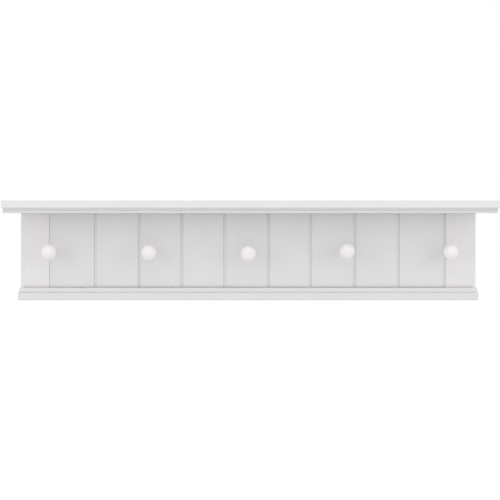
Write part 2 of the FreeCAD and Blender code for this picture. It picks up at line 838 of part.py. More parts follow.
def make_hanger_plate(label, middle):
    """A flat steel plate with a keyhole and two countersunk screw holes, let into the top batten."""
    body = new_body(label)
    outline = new_sketch(body, f"{label}_outline", "XZ_Plane")
    half = "plate_width / 2"
    bottom = "plate_above_hang_point - plate_height"
    draw_rectangle(outline, f"-{half}", half, bottom, "plate_above_hang_point")
    pad(body, outline, "plate_thickness")
    round_edges(
        body, f"{label}_corners", "plate_round", lambda point, along: is_along(along, "y")
    )
    entry = new_sketch(body, f"{label}_entry", "XZ_Plane")
    draw_circles(entry, [("0", "-keyhole_travel")], "keyhole_diameter")
    pocket(body, entry)
    slot = new_sketch(body, f"{label}_slot", "XZ_Plane")
    half_slot = "keyhole_slot_width / 2"
    draw_rectangle(slot, f"-{half_slot}", half_slot, "-keyhole_travel", "0")
    pocket(body, slot)
    slot_end = new_sketch(body, f"{label}_slot_end", "XZ_Plane")
    draw_circles(slot_end, [("0", "0")], "keyhole_slot_width")
    pocket(body, slot_end)
    screws = new_sketch(body, f"{label}_screw_holes", "XZ_Plane")
    centres = [("0", level) for level in plate_screw_levels()]
    draw_circles(screws, centres, "hanger_screw_diameter + drill_clearance")
    countersunk_holes(
        body,
        screws,
        "hanger_screw_diameter + drill_clearance",
        "hanger_screw_head + drill_clearance",
        reverse=True,
    )
    place(body, middle, "0", "0")


# Fasteners -----------------------------------------------------------------------------------


def countersunk_screw(diameter, head, length):
    """A screw along +Z with its flat head at z = 0 and its point at z = length."""
    radius = diameter / 2
    head_radius = head / 2
    cone = head_radius - radius
    tip = diameter
    outline = (
        (0, 0),
        (head_radius, 0),
        (radius, cone),
        (radius, length - tip),
        (0, length),
        (0, 0),
    )
    wire = Part.makePolygon([FreeCAD.Vector(across, 0, up) for across, up in outline])
    screw = Part.Face(wire).revolve(FreeCAD.Vector(), FreeCAD.Vector(0, 0, 1), 360)
    arm = head_radius * CROSS_ARM
    blade = diameter * CROSS_BLADE
    depth = cone * CROSS_DEPTH
    cross = Part.makeBox(arm, blade, depth, FreeCAD.Vector(-arm / 2, -blade / 2, 0))
    cross = cross.fuse(Part.makeBox(blade, arm, depth, FreeCAD.Vector(-blade / 2, -arm / 2, 0)))
    return screw.cut(cross)


def add_group(label, shape, places, direction):
    """Copies of one fastener at several places, as separate solids in one sub-part.

    A body holds one solid and the places are uneven, so the group is a compound made directly.
    """
    turn = FreeCAD.Rotation(FreeCAD.Vector(0, 0, 1), direction)
    copies = []
    for spot in places:
        copy = shape.copy()
        copy.Placement = FreeCAD.Placement(spot, turn)
        copies.append(copy)
    group = doc.addObject("Part::Feature", label)
    group.Label = label
    group.Shape = Part.makeCompound(copies)
    pieces.append(group)


def mirrored(numbers):
    return [sign * number for sign in (-1, 1) for number in numbers]


def make_fasteners():
    into_front = FreeCAD.Vector(0, -1, 0)
    upward = FreeCAD.Vector(0, 0, 1)
    mid_batten = -size("batten_thickness") / 2
    panel_top = size("hang_drop")
    panel_bottom = panel_top - size("panel_height")
    top_mid = panel_top - size("top_batten_height") / 2
    bottom_mid = panel_bottom + size("bottom_batten_height") / 2
    limits = board_limits()
    middles = [(left + right) / 2 for left, right in zip(limits, limits[1:])]
    board_screw = countersunk_screw(
        size("board_screw_diameter"), size("board_screw_head"), size("board_screw_length")
    )
    spots = [FreeCAD.Vector(x, 0, z) for z in (bottom_mid, top_mid) for x in middles]
    add_group("board_screws", board_screw, spots, into_front)

    columns = mirrored([size(f"screw_spacing_{name}") for name in ("inner", "middle", "outer")])
    head_depth = (size("long_screw_head") - size("long_screw_diameter")) / 2
    counterbore_end = panel_top - size("top_batten_height") + size("shelf_screw_counterbore")
    shelf_screw = countersunk_screw(
        size("long_screw_diameter"), size("long_screw_head"), size("shelf_screw_length")
    )
    spots = [FreeCAD.Vector(x, mid_batten, counterbore_end - head_depth) for x in columns]
    add_group("shelf_screws", shelf_screw, spots, upward)

    rack_bottom = panel_bottom - size("bead_height") - size("base_height")
    base_screw = countersunk_screw(
        size("long_screw_diameter"), size("long_screw_head"), size("base_screw_length")
    )
    spots = [FreeCAD.Vector(x, mid_batten, rack_bottom) for x in columns]
    add_group("base_screws", base_screw, spots, upward)

    hanger_screw = countersunk_screw(
        size("hanger_screw_diameter"), size("hanger_screw_head"), size("hanger_screw_length")
    )
    above = size("plate_above_hang_point")
    inset = size("hanger_screw_inset")
    levels = (above - inset, above - size("plate_height") + inset)
    plates = mirrored([size("hanger_span") / 2])
    spots = [FreeCAD.Vector(x, 0, z) for x in plates for z in levels]
    add_group("hanger_screws", hanger_screw, spots, into_front)

    pin = Part.makeCylinder(size("pin_diameter") / 2, size("pin_length"))
    levels = (
        panel_bottom + size("bottom_batten_height") - size("cap_pin_inset"),
        panel_top - size("peg_drop") + size("peg_batten_height") / 2 - size("cap_pin_inset"),
        panel_top - size("cap_pin_inset"),
    )
    end = size("panel_length") / 2
    spots = [FreeCAD.Vector(-end, mid_batten, z) for z in levels]
    add_group("left_cap_pins", pin, spots, FreeCAD.Vector(1, 0, 0))
    spots = [FreeCAD.Vector(end, mid_batten, z) for z in levels]
    add_group("right_cap_pins", pin, spots, FreeCAD.Vector(-1, 0, 0))

    moulding_pin = Part.makeCylinder(size("pin_diameter") / 2, size("moulding_pin_length"))
    row = (size("moulding_cove") + size("moulding_depth")) / 2
    row += size("moulding_inset") - size("shelf_depth")
    lip = panel_top + size("cornice_height") - size("moulding_height")
    columns = [step * size("moulding_pin_spacing") + size("shelf_shift") for step in range(-2, 3)]
    spots = [FreeCAD.Vector(x, row, lip) for x in columns]
    add_group("moulding_pins", moulding_pin, spots, upward)


def check_and_export():
    """Stops on any failed object or bad shape, then writes each sub-part to its own file."""
    doc.recompute()
    for item in doc.Objects:
        if "Invalid" in item.State or "Error" in item.State:
            raise RuntimeError(f"{item.Name} did not recompute: {item.State}")
    for piece in pieces:
        if piece.Shape.isNull() or not piece.Shape.isValid():
            raise RuntimeError(f"{piece.Label} has a bad shape")
    os.makedirs("parts", exist_ok=True)
    for piece in pieces:
        piece.Shape.exportStep(f"parts/{piece.Label}.step")
        box = piece.Shape.BoundBox
        print(
            f"{piece.Label:18s} solids {len(piece.Shape.Solids):2d}"
            f"  x {box.XMin:8.2f} {box.XMax:8.2f}"
            f"  y {box.YMin:8.2f} {box.YMax:8.2f}"
            f"  z {box.ZMin:8.2f} {box.ZMax:8.2f}"
        )


fill_sheet()
make_shelf_board()
make_shelf_moulding()
make_cornice_rail()
for board_number in range(1, BOARD_COUNT + 1):
    make_board(board_number)
make_end_cap("left_end_cap", -1)
make_end_cap("right_end_cap", 1)
make_top_batten()
make_peg_batten()
make_bottom_batten()
make_base_bead()
make_base_board()
for peg_number in range(1, PEG_COUNT + 1):
    make_peg(peg_number)
make_hanger_plate("left_hanger_plate", "-hanger_span / 2")
make_hanger_plate("right_hanger_plate", "hanger_span / 2")
make_fasteners()
check_and_export()
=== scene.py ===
"""Looks for a white painted wall rack with a shelf, a boarded panel and five turned pegs.

Everything is in metres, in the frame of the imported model: X runs along the rack, Y into the wall and
Z up, with the wall at y = 0. Each painted part gets a detailed mesh with rounded edges in place of its
CAD node. The pins lie under the paint and don't show. The battens, the keyhole plates and the screws
keep their CAD shapes.
"""
import math

import bmesh
import bpy
from mathutils import Matrix, Vector, noise


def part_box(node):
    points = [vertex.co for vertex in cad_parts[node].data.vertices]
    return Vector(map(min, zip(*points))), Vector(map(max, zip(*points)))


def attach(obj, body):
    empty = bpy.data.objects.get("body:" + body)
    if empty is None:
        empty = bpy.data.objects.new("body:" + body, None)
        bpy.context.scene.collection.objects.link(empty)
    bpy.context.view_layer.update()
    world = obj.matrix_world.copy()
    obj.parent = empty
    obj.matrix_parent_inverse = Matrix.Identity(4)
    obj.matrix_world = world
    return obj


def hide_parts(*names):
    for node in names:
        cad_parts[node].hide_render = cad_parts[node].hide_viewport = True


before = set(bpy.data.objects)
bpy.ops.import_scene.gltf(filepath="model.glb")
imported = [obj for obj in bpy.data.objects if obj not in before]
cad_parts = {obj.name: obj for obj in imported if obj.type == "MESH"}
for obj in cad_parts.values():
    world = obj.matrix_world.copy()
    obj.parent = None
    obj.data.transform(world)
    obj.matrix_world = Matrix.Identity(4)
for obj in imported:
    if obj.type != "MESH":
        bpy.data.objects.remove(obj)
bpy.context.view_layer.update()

MM = 0.001

# Sizes of sections that a node's box doesn't give.
SHELF_EDGE_ROUND = 1.5 * MM
MOULDING_FILLET = 1.3 * MM
MOULDING_COVE = 4.5 * MM
MOULDING_ROLL = 3.1 * MM
MOULDING_ROLL_INSET = 2.4 * MM
CORNICE_COVE = 9 * MM
CHANNEL_WIDTH = 6.4 * MM
CHANNEL_DEPTH = 2.2 * MM
BOARD_EASE = 0.8 * MM
TONGUE_LENGTH = 4.5 * MM
TONGUE_THICKNESS = 2.8 * MM
SLOT_DEPTH = 5 * MM
SLOT_WIDTH = 3 * MM
BACK_CHEEK = 3 * MM
JOINT_GAP = 0.15 * MM
QUIRK_WIDTH = 0.2 * MM
QUIRK_DEPTH = 1 * MM
HOUSING_DEPTH = 6 * MM
REBATE_DEPTH = 3.6 * MM
SHADOW_LINE = 0.9 * MM
END_SHADOW_LINE = 0.4 * MM
HOUSING_GAP = 1 * MM
BEAD_TOP_ROUND = 5.2 * MM
BEAD_BOTTOM_ROUND = 1.2 * MM
BASE_BOTTOM_ROUND = 3 * MM
BASE_TOP_ROUND = 1.2 * MM
END_CAP_ROUND = 0.8 * MM
PEG_TENON_RADIUS = 5 * MM
PEG_COLLAR_RADIUS = 10 * MM
PEG_COLLAR_THICKNESS = 2 * MM
PEG_COLLAR_EASE = 0.5 * MM
PEG_NECK_CURVE = 22 * MM
PEG_SHOULDER_RADIUS = 13 * MM
PEG_HEAD_RADIUS = 19 * MM
PEG_HEAD_MIDDLE = 38 * MM
PEG_REACH = 55 * MM
COUNTERSINK_RADIUS = 4.5 * MM
COUNTERSINK_DEPTH = 2.2 * MM
SCREW_SHANK_RADIUS = 2.35 * MM
SCREW_HOLE_DEPTH = 18 * MM

# Corners that are only eased.
SHELF_EASE = 0.5 * MM
MOULDING_EASE = 0.35 * MM
BEAD_EASE = 0.3 * MM
BASE_EASE = 0.4 * MM
END_CAP_EASE = 0.25 * MM
BOARD_CORNER_EASE = 0.2 * MM

# How far surfaces stray from flat or round, and over what distance they do so.
SHELF_BEND = 0.12 * MM
SHELF_WAVE = 160 * MM
RAIL_BEND = 0.1 * MM
RAIL_WAVE = 130 * MM
BOARD_BEND = 0.09 * MM
BOARD_WAVE = 90 * MM
BOARD_HOLLOW = 0.16 * MM
BOARD_CROWN = 0.12 * MM
PEG_SWELL = 0.12 * MM
PEG_WAVE = 14 * MM
PEG_TRUE_NECK = 1 * MM
PEG_TRUE_TIP = 1 * MM
PEG_TURN_RADIANS = 1.7

# How finely meshes are divided.
RAIL_SLICE = 24 * MM
SHELF_SLICE_ACROSS = 20 * MM
END_CAP_SLICE = 20 * MM
BOARD_SLICE = 18 * MM
BOARD_SLICE_ACROSS = 12 * MM
COVE_STEPS = 10
ROLL_STEPS = 12
PEG_STEPS = 96
HOLE_STEPS = 40

# Distances that mesh tests and cuts go by.
WALL_MARGIN = 1 * MM
SAME_PLACE = 0.1 * MM
NARROW_FACE = 0.75 * MM
CUTTER_OVERHANG = 0.1 * MM
REBATE_STEP = 0.05 * MM
FASTENER_GAP = 10 * MM
SLICE_TOLERANCE = 1e-7
WELD_DISTANCE = 1e-6
UPRIGHT_LEAST = 0.5
BACK_FACING_LEAST = 0.9

X_AXIS = 0
Y_AXIS = 1
Z_AXIS = 2

BOARD_COUNT = 11
PEG_COUNT = 5
FULL_BOARD = "panel_board_02"
PIECE_SUFFIX = "_painted"

# Each part's seed shifts its noise, so that no two parts look alike.
SHELF_SEED = 1
MOULDING_SEED = 2
CORNICE_SEED = 3
BEAD_SEED = 4
BASE_SEED = 5
END_CAP_SEEDS = {"left": 6, "right": 7}
BOARD_SEED = 10
PEG_SEED = 40
BATTEN_SEED = 60
STEEL_SEED = 70


# Mesh building --------------------------------------------------------------------------------


def bar(section, start, end, axis):
    """A closed section, given as pairs in order, drawn out along X or Z between two places."""
    bm = bmesh.new()
    rings = []
    for place in (start, end):
        if axis == "x":
            ring = [bm.verts.new((place, across, up)) for across, up in section]
        else:
            ring = [bm.verts.new((across, deep, place)) for across, deep in section]
        rings.append(ring)
    count = len(section)
    for index in range(count):
        after = (index + 1) % count
        bm.faces.new((rings[0][index], rings[0][after], rings[1][after], rings[1][index]))
    bm.faces.new(rings[0])
    bm.faces.new(rings[1])
    bmesh.ops.recalc_face_normals(bm, faces=bm.faces)
    return bm


def block(low, high):
    section = ((low[1], low[2]), (high[1], low[2]), (high[1], high[2]), (low[1], high[2]))
    return bar(section, low[0], high[0], "x")


def arc_points(centre, radius, first_degrees, last_degrees, steps):
    """Points along an arc, both ends included."""
    points = []
    for step in range(steps + 1):
        turn = math.radians(first_degrees + (last_degrees - first_degrees) * step / steps)
        points.append((centre[0] + radius * math.cos(turn), centre[1] + radius * math.sin(turn)))
    return points


def turned(profile, steps):
    """A solid turned about the Y axis from pairs of radius and depth, first and last on the axis."""
    bm = bmesh.new()
    tip = bm.verts.new((0, profile[0][1], 0))
    root = bm.verts.new((0, profile[-1][1], 0))
    rings = []
    for radius, depth in profile[1:-1]:
        turns = [2 * math.pi * step / steps for step in range(steps)]
        spots = [(radius * math.cos(turn), depth, radius * math.sin(turn)) for turn in turns]
        rings.append([bm.verts.new(spot) for spot in spots])
    for step in range(steps):
        after = (step + 1) % steps
        bm.faces.new((tip, rings[0][step], rings[0][after]))
        bm.faces.new((root, rings[-1][after], rings[-1][step]))
        for near, far in zip(rings, rings[1:]):
            bm.faces.new((near[step], far[step], far[after], near[after]))
    bmesh.ops.recalc_face_normals(bm, faces=bm.faces)
    return bm


def round_some(bm, radius, steps, wanted):
    """Rounds the edges whose middle and direction pass a test."""
    chosen = []
    for edge in bm.edges:
        middle = (edge.verts[0].co + edge.verts[1].co) / 2
        along = (edge.verts[1].co - edge.verts[0].co).normalized()
        if wanted(middle, along):
            chosen.append(edge)
    bmesh.ops.bevel(
        bm, geom=chosen, offset=radius, segments=steps, profile=0.5, affect="EDGES", clamp_overlap=True
    )


def is_upright(along):
    return abs(along.z) > UPRIGHT_LEAST


def round_front_and_ends(bm, radius, steps, level):
    """Rounds a flat board's edges at one level, except along the wall."""

    def is_wanted(middle, along):
        at_level = abs(middle.z - level) < SAME_PLACE
        return at_level and not is_upright(along) and middle.y < -WALL_MARGIN

    round_some(bm, radius, steps, is_wanted)


def ease(bm, radius, steps=2, least_degrees=40):
    """Takes the sharpness off every outer corner that is still sharp."""
    bm.normal_update()
    least = math.radians(least_degrees)
    chosen = [
        edge
        for edge in bm.edges
        if len(edge.link_faces) == 2 and edge.calc_face_angle_signed() > least
    ]
    bmesh.ops.bevel(
        bm, geom=chosen, offset=radius, segments=steps, profile=0.5, affect="EDGES", clamp_overlap=True
    )


def slice_along(bm, axis, spacing):
    """Cuts every face across an axis at even steps, so that the surface can be bent a little."""
    places = [vert.co[axis] for vert in bm.verts]
    low, high = min(places), max(places)
    count = max(1, round((high - low) / spacing))
    normal = Vector((0, 0, 0))
    normal[axis] = 1
    for step in range(1, count):
        spot = normal * (low + (high - low) * step / count)
        everything = [*bm.verts, *bm.edges, *bm.faces]
        bmesh.ops.bisect_plane(
            bm, geom=everything, dist=SLICE_TOLERANCE, plane_co=spot, plane_no=normal
        )


def bend(bm, amount, wavelength, seed):
    """Moves the surface by a small smooth amount, as planed wood has. The wall side stays flat."""
    for vert in bm.verts:
        if vert.co.y > -WALL_MARGIN:
            continue
        spot = vert.co / wavelength
        deep = noise.noise(spot + Vector((seed * 3.1, 0, 0)))
        up = noise.noise(spot + Vector((0, seed * 5.7, 11)))
        vert.co.y += amount * deep
        vert.co.z += amount * up


def mark_edges(mesh, width):
    """Stores 1 on points that touch only narrow faces, as rounded edges have, and 0 elsewhere."""
    narrow = []
    for face in mesh.polygons:
        spots = [mesh.vertices[index].co for index in face.vertices]
        sides = [(spots[index] - spots[index - 1]).length for index in range(len(spots))]
        narrow.append(face.area / max(max(sides), 1e-9) < width)
    marks = [1.0] * len(mesh.vertices)
    for face, is_narrow in zip(mesh.polygons, narrow):
        if not is_narrow:
            for index in face.vertices:
                marks[index] = 0.0
    layer = mesh.attributes.new("edge_wear", "FLOAT", "POINT")
    layer.data.foreach_set("value", marks)


def cut(piece, cutters):
    """Takes cutters, given as meshes under construction, out of a mesh under construction."""
    target = as_object(piece, "cut_target")
    tool = bmesh.new()
    for cutter in cutters:
        extra = bpy.data.meshes.new("cutter_part")
        cutter.to_mesh(extra)
        cutter.free()
        tool.from_mesh(extra)
        bpy.data.meshes.remove(extra)
    tool_object = as_object(tool, "cut_tool")
    modifier = target.modifiers.new("cut", "BOOLEAN")
    modifier.operation = "DIFFERENCE"
    modifier.solver = "EXACT"
    modifier.object = tool_object
    bpy.context.view_layer.update()
    result = bmesh.new()
    result.from_object(target, bpy.context.evaluated_depsgraph_get())
    for item in (target, tool_object):
        mesh = item.data
        bpy.data.objects.remove(item)
        bpy.data.meshes.remove(mesh)
    return result


def as_object(bm, name):
    mesh = bpy.data.meshes.new(name)
    bm.to_mesh(mesh)
    bm.free()
    item = bpy.data.objects.new(name, mesh)
    bpy.context.scene.collection.objects.link(item)
    return item


def add_piece(bm, nodes, front, back=None):
    """Makes a finished piece that stands for its CAD nodes, with its materials and its body."""
    bmesh.ops.remove_doubles(bm, verts=bm.verts, dist=WELD_DISTANCE)
    item = as_object(bm, nodes[0] + PIECE_SUFFIX)
    mesh = item.data
    for face in mesh.polygons:
        face.use_smooth = True
    mesh.materials.append(front)
    if back is not None:
        mesh.materials.append(back)
        for face in mesh.polygons:
            if face.normal.y > BACK_FACING_LEAST:
                face.material_index = 1
    mark_edges(mesh, NARROW_FACE)
    weighted = item.modifiers.new("weighted_normals", "WEIGHTED_NORMAL")
    weighted.mode = "FACE_AREA"
    weighted.weight = 100
    weighted.keep_sharp = True
    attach(item, "root")
    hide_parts(*nodes)
    return item


# Materials ------------------------------------------------------------------------------------


class Nodes:
    """A material's node tree, with short calls for adding nodes and joining them."""

    def __init__(self, name):
        self.material = bpy.data.materials.new(name)
        self.material.use_nodes = True
        self.tree = self.material.node_tree
        self.tree.nodes.clear()
        self.output = self.tree.nodes.new("ShaderNodeOutputMaterial")
        self.shader = self.add("ShaderNodeBsdfPrincipled")
        self.tree.links.new(self.shader.outputs[0], self.output.inputs[0])

    def add(self, kind, settings=None, **inputs):
        node = self.tree.nodes.new(kind)
        for key, value in (settings or {}).items():
            setattr(node, key, value)
        for key, value in inputs.items():
            self.feed(node, key.replace("_", " "), value)
        return node

    def feed(self, node, socket, value):
        target = node.inputs[int(socket)] if socket.isdigit() else node.inputs[socket]
        if isinstance(value, bpy.types.NodeSocket):
            self.tree.links.new(value, target)
        else:
            target.default_value = value

    def place(self, offset, scale):
        """The piece's own coordinates in metres, moved and stretched."""
        spots = self.add("ShaderNodeTexCoord")
        mapping = self.add("ShaderNodeMapping", Vector=spots.outputs["Object"])
        mapping.inputs["Location"].default_value = offset
        mapping.inputs["Scale"].default_value = scale
        return mapping.outputs[0]

    def noise(self, spots, scale, detail=2.0, roughness=0.5):
        """Smooth noise with about the given number of lumps to the metre, before any stretching."""
        node = self.add("ShaderNodeTexNoise", Vector=spots, Scale=scale, Detail=detail)
        node.inputs["Roughness"].default_value = roughness
        return node.outputs[0]

    def between(self, value, to_low, to_high, from_low=0.0, from_high=1.0):
        """The value stretched from one range to another, and held at its ends."""
        node = self.add("ShaderNodeMapRange", {"clamp": True})
        self.feed(node, "Value", value)
        node.inputs["From Min"].default_value = from_low
        node.inputs["From Max"].default_value = from_high
        node.inputs["To Min"].default_value = to_low
        node.inputs["To Max"].default_value = to_high
        return node.outputs[0]

    def blend(self, factor, first, second):
        node = self.add("ShaderNodeMix", {"data_type": "RGBA"})
        self.feed(node, "0", factor)
        self.feed(node, "6", first)
        self.feed(node, "7", second)
        return node.outputs[2]

    def combine(self, first, second, operation="ADD"):
        node = self.add("ShaderNodeMath", {"operation": operation})
        self.feed(node, "0", first)
        self.feed(node, "1", second)
        return node.outputs[0]

    def bump(self, height, strength, distance, below=None):
        node = self.add("ShaderNodeBump", Height=height, Strength=strength, Distance=distance)
        if below is not None:
            self.feed(node, "Normal", below)
        return node.outputs[0]


GRAIN_STRETCH = {"x": (0.03, 1, 1), "y": (1, 0.05, 1), "z": (1, 1, 0.03)}
RING_STRETCH = {"x": (0.05, 1, 1), "z": (1, 1, 0.05)}
SHADE_FACTORS = (0.975, 0.975, 0.98)
RUBBED_FACTORS = (0.92, 0.9, 0.87)
# The shelf is given a lighter paint than the boards to stand in for the extra light from above on its
# front edge: painted light.
SHELF_PAINT_WITH_PAINTED_LIGHT = (0.779, 0.779, 0.779)
MOULDING_PAINT = (0.745, 0.743, 0.743)
BASE_PAINT = (0.748, 0.735, 0.738)
BOARD_PAINT = (0.75, 0.738, 0.737)
# The end boards and end caps are given a lighter paint than the other boards to stand in for the extra
# light that reaches the ends of the rack: painted light.
END_PAINT_WITH_PAINTED_LIGHT = (0.792, 0.776, 0.778)
# The pegs are given a much lighter paint than the boards: partly a whiter paint, partly painted light
# standing in for the light the heads catch.
PEG_PAINT_AND_PAINTED_LIGHT = (0.885, 0.859, 0.866)


def tinted(paint, factors=(1, 1, 1)):
    return (*(amount * factor for amount, factor in zip(paint, factors)), 1)


def white_paint(name, grain, seed, paint):
    """Satin white paint, brushed and sanded over wood, with the grain faintly showing through."""
    nodes = Nodes(name)
    offset = (seed * 1.37, seed * 0.61, seed * 2.11)
    plain = nodes.place(offset, (1, 1, 1))
    drawn = nodes.place(offset, GRAIN_STRETCH[grain])
    mottle = nodes.noise(plain, 9, detail=3)
    streak = nodes.noise(drawn, 210, detail=4, roughness=0.6)
    fibre = nodes.noise(drawn, 900, detail=3, roughness=0.6)
    skin = nodes.noise(plain, 1400, detail=1)
    cloud = nodes.combine(mottle, nodes.combine(streak, 0.35, "MULTIPLY"))
    shade = nodes.between(cloud, 0, 1, 0.45, 0.95)
    colour = nodes.blend(shade, tinted(paint), tinted(paint, SHADE_FACTORS))
    wear = nodes.add("ShaderNodeAttribute", {"attribute_name": "edge_wear"}).outputs["Fac"]
    patches = nodes.between(nodes.noise(plain, 70, detail=4), 0, 0.55, 0.48, 0.72)
    rubbed = nodes.combine(wear, patches, "MULTIPLY")
    colour = nodes.blend(rubbed, colour, tinted(paint, RUBBED_FACTORS))
    nodes.feed(nodes.shader, "Base Color", colour)
    sheen = nodes.between(streak, 0.36, 0.48, 0.3, 0.7)
    gloss = nodes.combine(sheen, nodes.combine(rubbed, 0.15, "MULTIPLY"))
    nodes.feed(nodes.shader, "Roughness", gloss)
    nodes.shader.inputs["Specular IOR Level"].default_value = 0.45
    grain_height = nodes.combine(streak, nodes.combine(fibre, 0.5, "MULTIPLY"))
    relief = nodes.bump(grain_height, 0.35, 0.12 * MM)
    relief = nodes.bump(skin, 0.12, 0.05 * MM, relief)
    nodes.feed(nodes.shader, "Normal", relief)
    return nodes.material


def bare_pine(name, grain, seed):
    """Planed pine: growth rings drawn out along the grain, fine fibres and paler patches."""
    nodes = Nodes(name)
    offset = (seed * 0.83, seed * 1.91, seed * 0.47)
    drawn = nodes.place(offset, RING_STRETCH[grain])
    fine = nodes.place(offset, GRAIN_STRETCH[grain])
    warp = nodes.noise(drawn, 14, detail=3)
    rings = nodes.add(
        "ShaderNodeTexWave",
        {"wave_type": "RINGS", "rings_direction": grain.upper(), "wave_profile": "SAW"},
        Vector=drawn,
        Scale=34.0,
        Distortion=5.0,
        Detail=2.0,
    )
    rings.inputs["Detail Scale"].default_value = 1.6
    ring = nodes.between(rings.outputs[1], 0, 1, 0.15, 1.0)
    fibre = nodes.noise(fine, 700, detail=4, roughness=0.65)
    early = (0.66, 0.475, 0.29, 1)
    late = (0.45, 0.27, 0.125, 1)
    pale = (0.73, 0.56, 0.37, 1)
    dark_fibre = (0.5, 0.33, 0.18, 1)
    colour = nodes.blend(nodes.combine(ring, 0.6, "MULTIPLY"), early, late)
    colour = nodes.blend(nodes.between(warp, 0, 0.7, 0.35, 0.7), colour, pale)
    colour = nodes.blend(nodes.between(fibre, 0.0, 0.45, 0.45, 0.75), colour, dark_fibre)
    nodes.feed(nodes.shader, "Base Color", colour)
    nodes.feed(nodes.shader, "Roughness", nodes.between(fibre, 0.52, 0.74, 0.3, 0.7))
    nodes.shader.inputs["Specular IOR Level"].default_value = 0.35
    relief = nodes.bump(fibre, 0.5, 0.12 * MM)
    relief = nodes.bump(ring, 0.25, 0.1 * MM, relief)
    nodes.feed(nodes.shader, "Normal", relief)
    return nodes.material


def zinc_steel(name, seed):
    """Zinc-plated steel: cool grey with faint spangle, handling marks and a soft brushed grain."""
    nodes = Nodes(name)
    offset = (seed, seed * 0.7, seed * 1.3)
    plain = nodes.place(offset, (1, 1, 1))
    drawn = nodes.place(offset, (1, 1, 0.08))
    cells = nodes.add("ShaderNodeTexVoronoi", Vector=plain, Scale=420.0)
    stain = nodes.noise(plain, 160, detail=4)
    brushed = nodes.noise(drawn, 2600, detail=2)
    plating = (0.62, 0.63, 0.65, 1)
    stained = (0.5, 0.5, 0.5, 1)
    spangle = (0.72, 0.72, 0.7, 1)
    colour = nodes.blend(nodes.between(stain, 0, 1, 0.35, 0.7), plating, stained)
    colour = nodes.blend(nodes.between(cells.outputs["Color"], 0, 0.25), colour, spangle)
    nodes.feed(nodes.shader, "Base Color", colour)
    nodes.shader.inputs["Metallic"].default_value = 1.0
    nodes.feed(nodes.shader, "Roughness", nodes.between(stain, 0.28, 0.5, 0.3, 0.75))
    nodes.feed(nodes.shader, "Normal", nodes.bump(brushed, 0.2, 0.03 * MM))
    return nodes.material


# Pieces ---------------------------------------------------------------------------------------


def finish_rail(bm, name, nodes, tone, seed, has_bare_back=True):
    """Adds a part that runs along the rack, slightly uneven and painted, with its grain lengthways."""
    slice_along(bm, X_AXIS, RAIL_SLICE)
    bend(bm, RAIL_BEND, RAIL_WAVE, seed)
    paint = white_paint(f"paint_{name}", "x", seed, tone)
    pine = bare_pine(f"pine_{name}", "x", seed) if has_bare_back else None
    add_piece(bm, nodes, paint, pine)


def make_shelf():
    low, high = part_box("shelf_board")
    bm = block(low, high)

    def is_front_or_end(middle, along):
        return not is_upright(along) and middle.y < high.y - WALL_MARGIN

    round_some(bm, SHELF_EDGE_ROUND, 4, is_front_or_end)
    ease(bm, SHELF_EASE)
    slice_along(bm, X_AXIS, RAIL_SLICE)
    slice_along(bm, Y_AXIS, SHELF_SLICE_ACROSS)
    bend(bm, SHELF_BEND, SHELF_WAVE, SHELF_SEED)
    # The shelf's lighter paint is painted light from above.
    paint = white_paint("paint_shelf", "x", SHELF_SEED, SHELF_PAINT_WITH_PAINTED_LIGHT)
    add_piece(bm, ["shelf_board"], paint, bare_pine("pine_shelf", "x", SHELF_SEED))


def make_moulding():
    low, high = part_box("shelf_moulding")
    cove_level = high.z - MOULDING_FILLET - MOULDING_COVE
    cove = arc_points((low.y, cove_level), MOULDING_COVE, 90, 0, COVE_STEPS)
    roll_middle = (low.y + MOULDING_ROLL_INSET + MOULDING_ROLL, low.z + MOULDING_ROLL)
    roll = arc_points(roll_middle, MOULDING_ROLL, 90, 270, ROLL_STEPS)
    section = [(high.y, high.z), (low.y, high.z), *cove, *roll, (high.y, low.z)]
    bm = bar(section, low.x, high.x, "x")
    ease(bm, MOULDING_EASE)
    nodes = ["shelf_moulding", "moulding_pins"]
    finish_rail(bm, "moulding", nodes, MOULDING_PAINT, MOULDING_SEED, has_bare_back=False)


def housing_cutter(level, depth):
    """The slot that the ends of the boards sit in, between the end caps."""
    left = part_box("left_end_cap")[1].x
    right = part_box("right_end_cap")[0].x
    board_low, board_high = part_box(FULL_BOARD)
    low = (left, board_low.y - HOUSING_GAP, min(level, level + depth))
    high = (right, board_high.y, max(level, level + depth))
    return block(low, high)


def make_cornice():
    low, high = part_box("cornice_rail")
    cove = arc_points((low.y, low.z), CORNICE_COVE, 90, 0, COVE_STEPS)
    section = [(high.y, high.z), (low.y, high.z), *cove, (high.y, low.z)]
    bm = bar(section, low.x, high.x, "x")
    bm = cut(bm, [housing_cutter(low.z, HOUSING_DEPTH)])
    ease(bm, MOULDING_EASE)
    finish_rail(bm, "cornice", ["cornice_rail"], MOULDING_PAINT, CORNICE_SEED)


def make_base_bead():
    low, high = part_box("base_bead")
    bm = block(low, high)
    round_front_and_ends(bm, BEAD_BOTTOM_ROUND, 4, low.z)
    round_front_and_ends(bm, BEAD_TOP_ROUND, 8, high.z)
    bm = cut(bm, [housing_cutter(high.z, -HOUSING_DEPTH)])
    ease(bm, BEAD_EASE)
    finish_rail(bm, "bead", ["base_bead"], BASE_PAINT, BEAD_SEED)


def screw_cutters():
    """Countersunk holes for the screws up through the base, one at each screw of that node."""
    profile = [
        (0, CUTTER_OVERHANG),
        (COUNTERSINK_RADIUS, CUTTER_OVERHANG),
        (COUNTERSINK_RADIUS, 0),
        (SCREW_SHANK_RADIUS, -COUNTERSINK_DEPTH),
        (SCREW_SHANK_RADIUS, -SCREW_HOLE_DEPTH),
        (0, -SCREW_HOLE_DEPTH),
    ]
    cutters = []
    for x, y, low_z in islands("base_screws"):
        cutter = turned(profile, HOLE_STEPS)
        bmesh.ops.rotate(cutter, verts=cutter.verts, matrix=Matrix.Rotation(math.radians(-90), 3, "X"))
        bmesh.ops.translate(cutter, verts=cutter.verts, vec=(x, y, low_z))
        cutters.append(cutter)
    return cutters


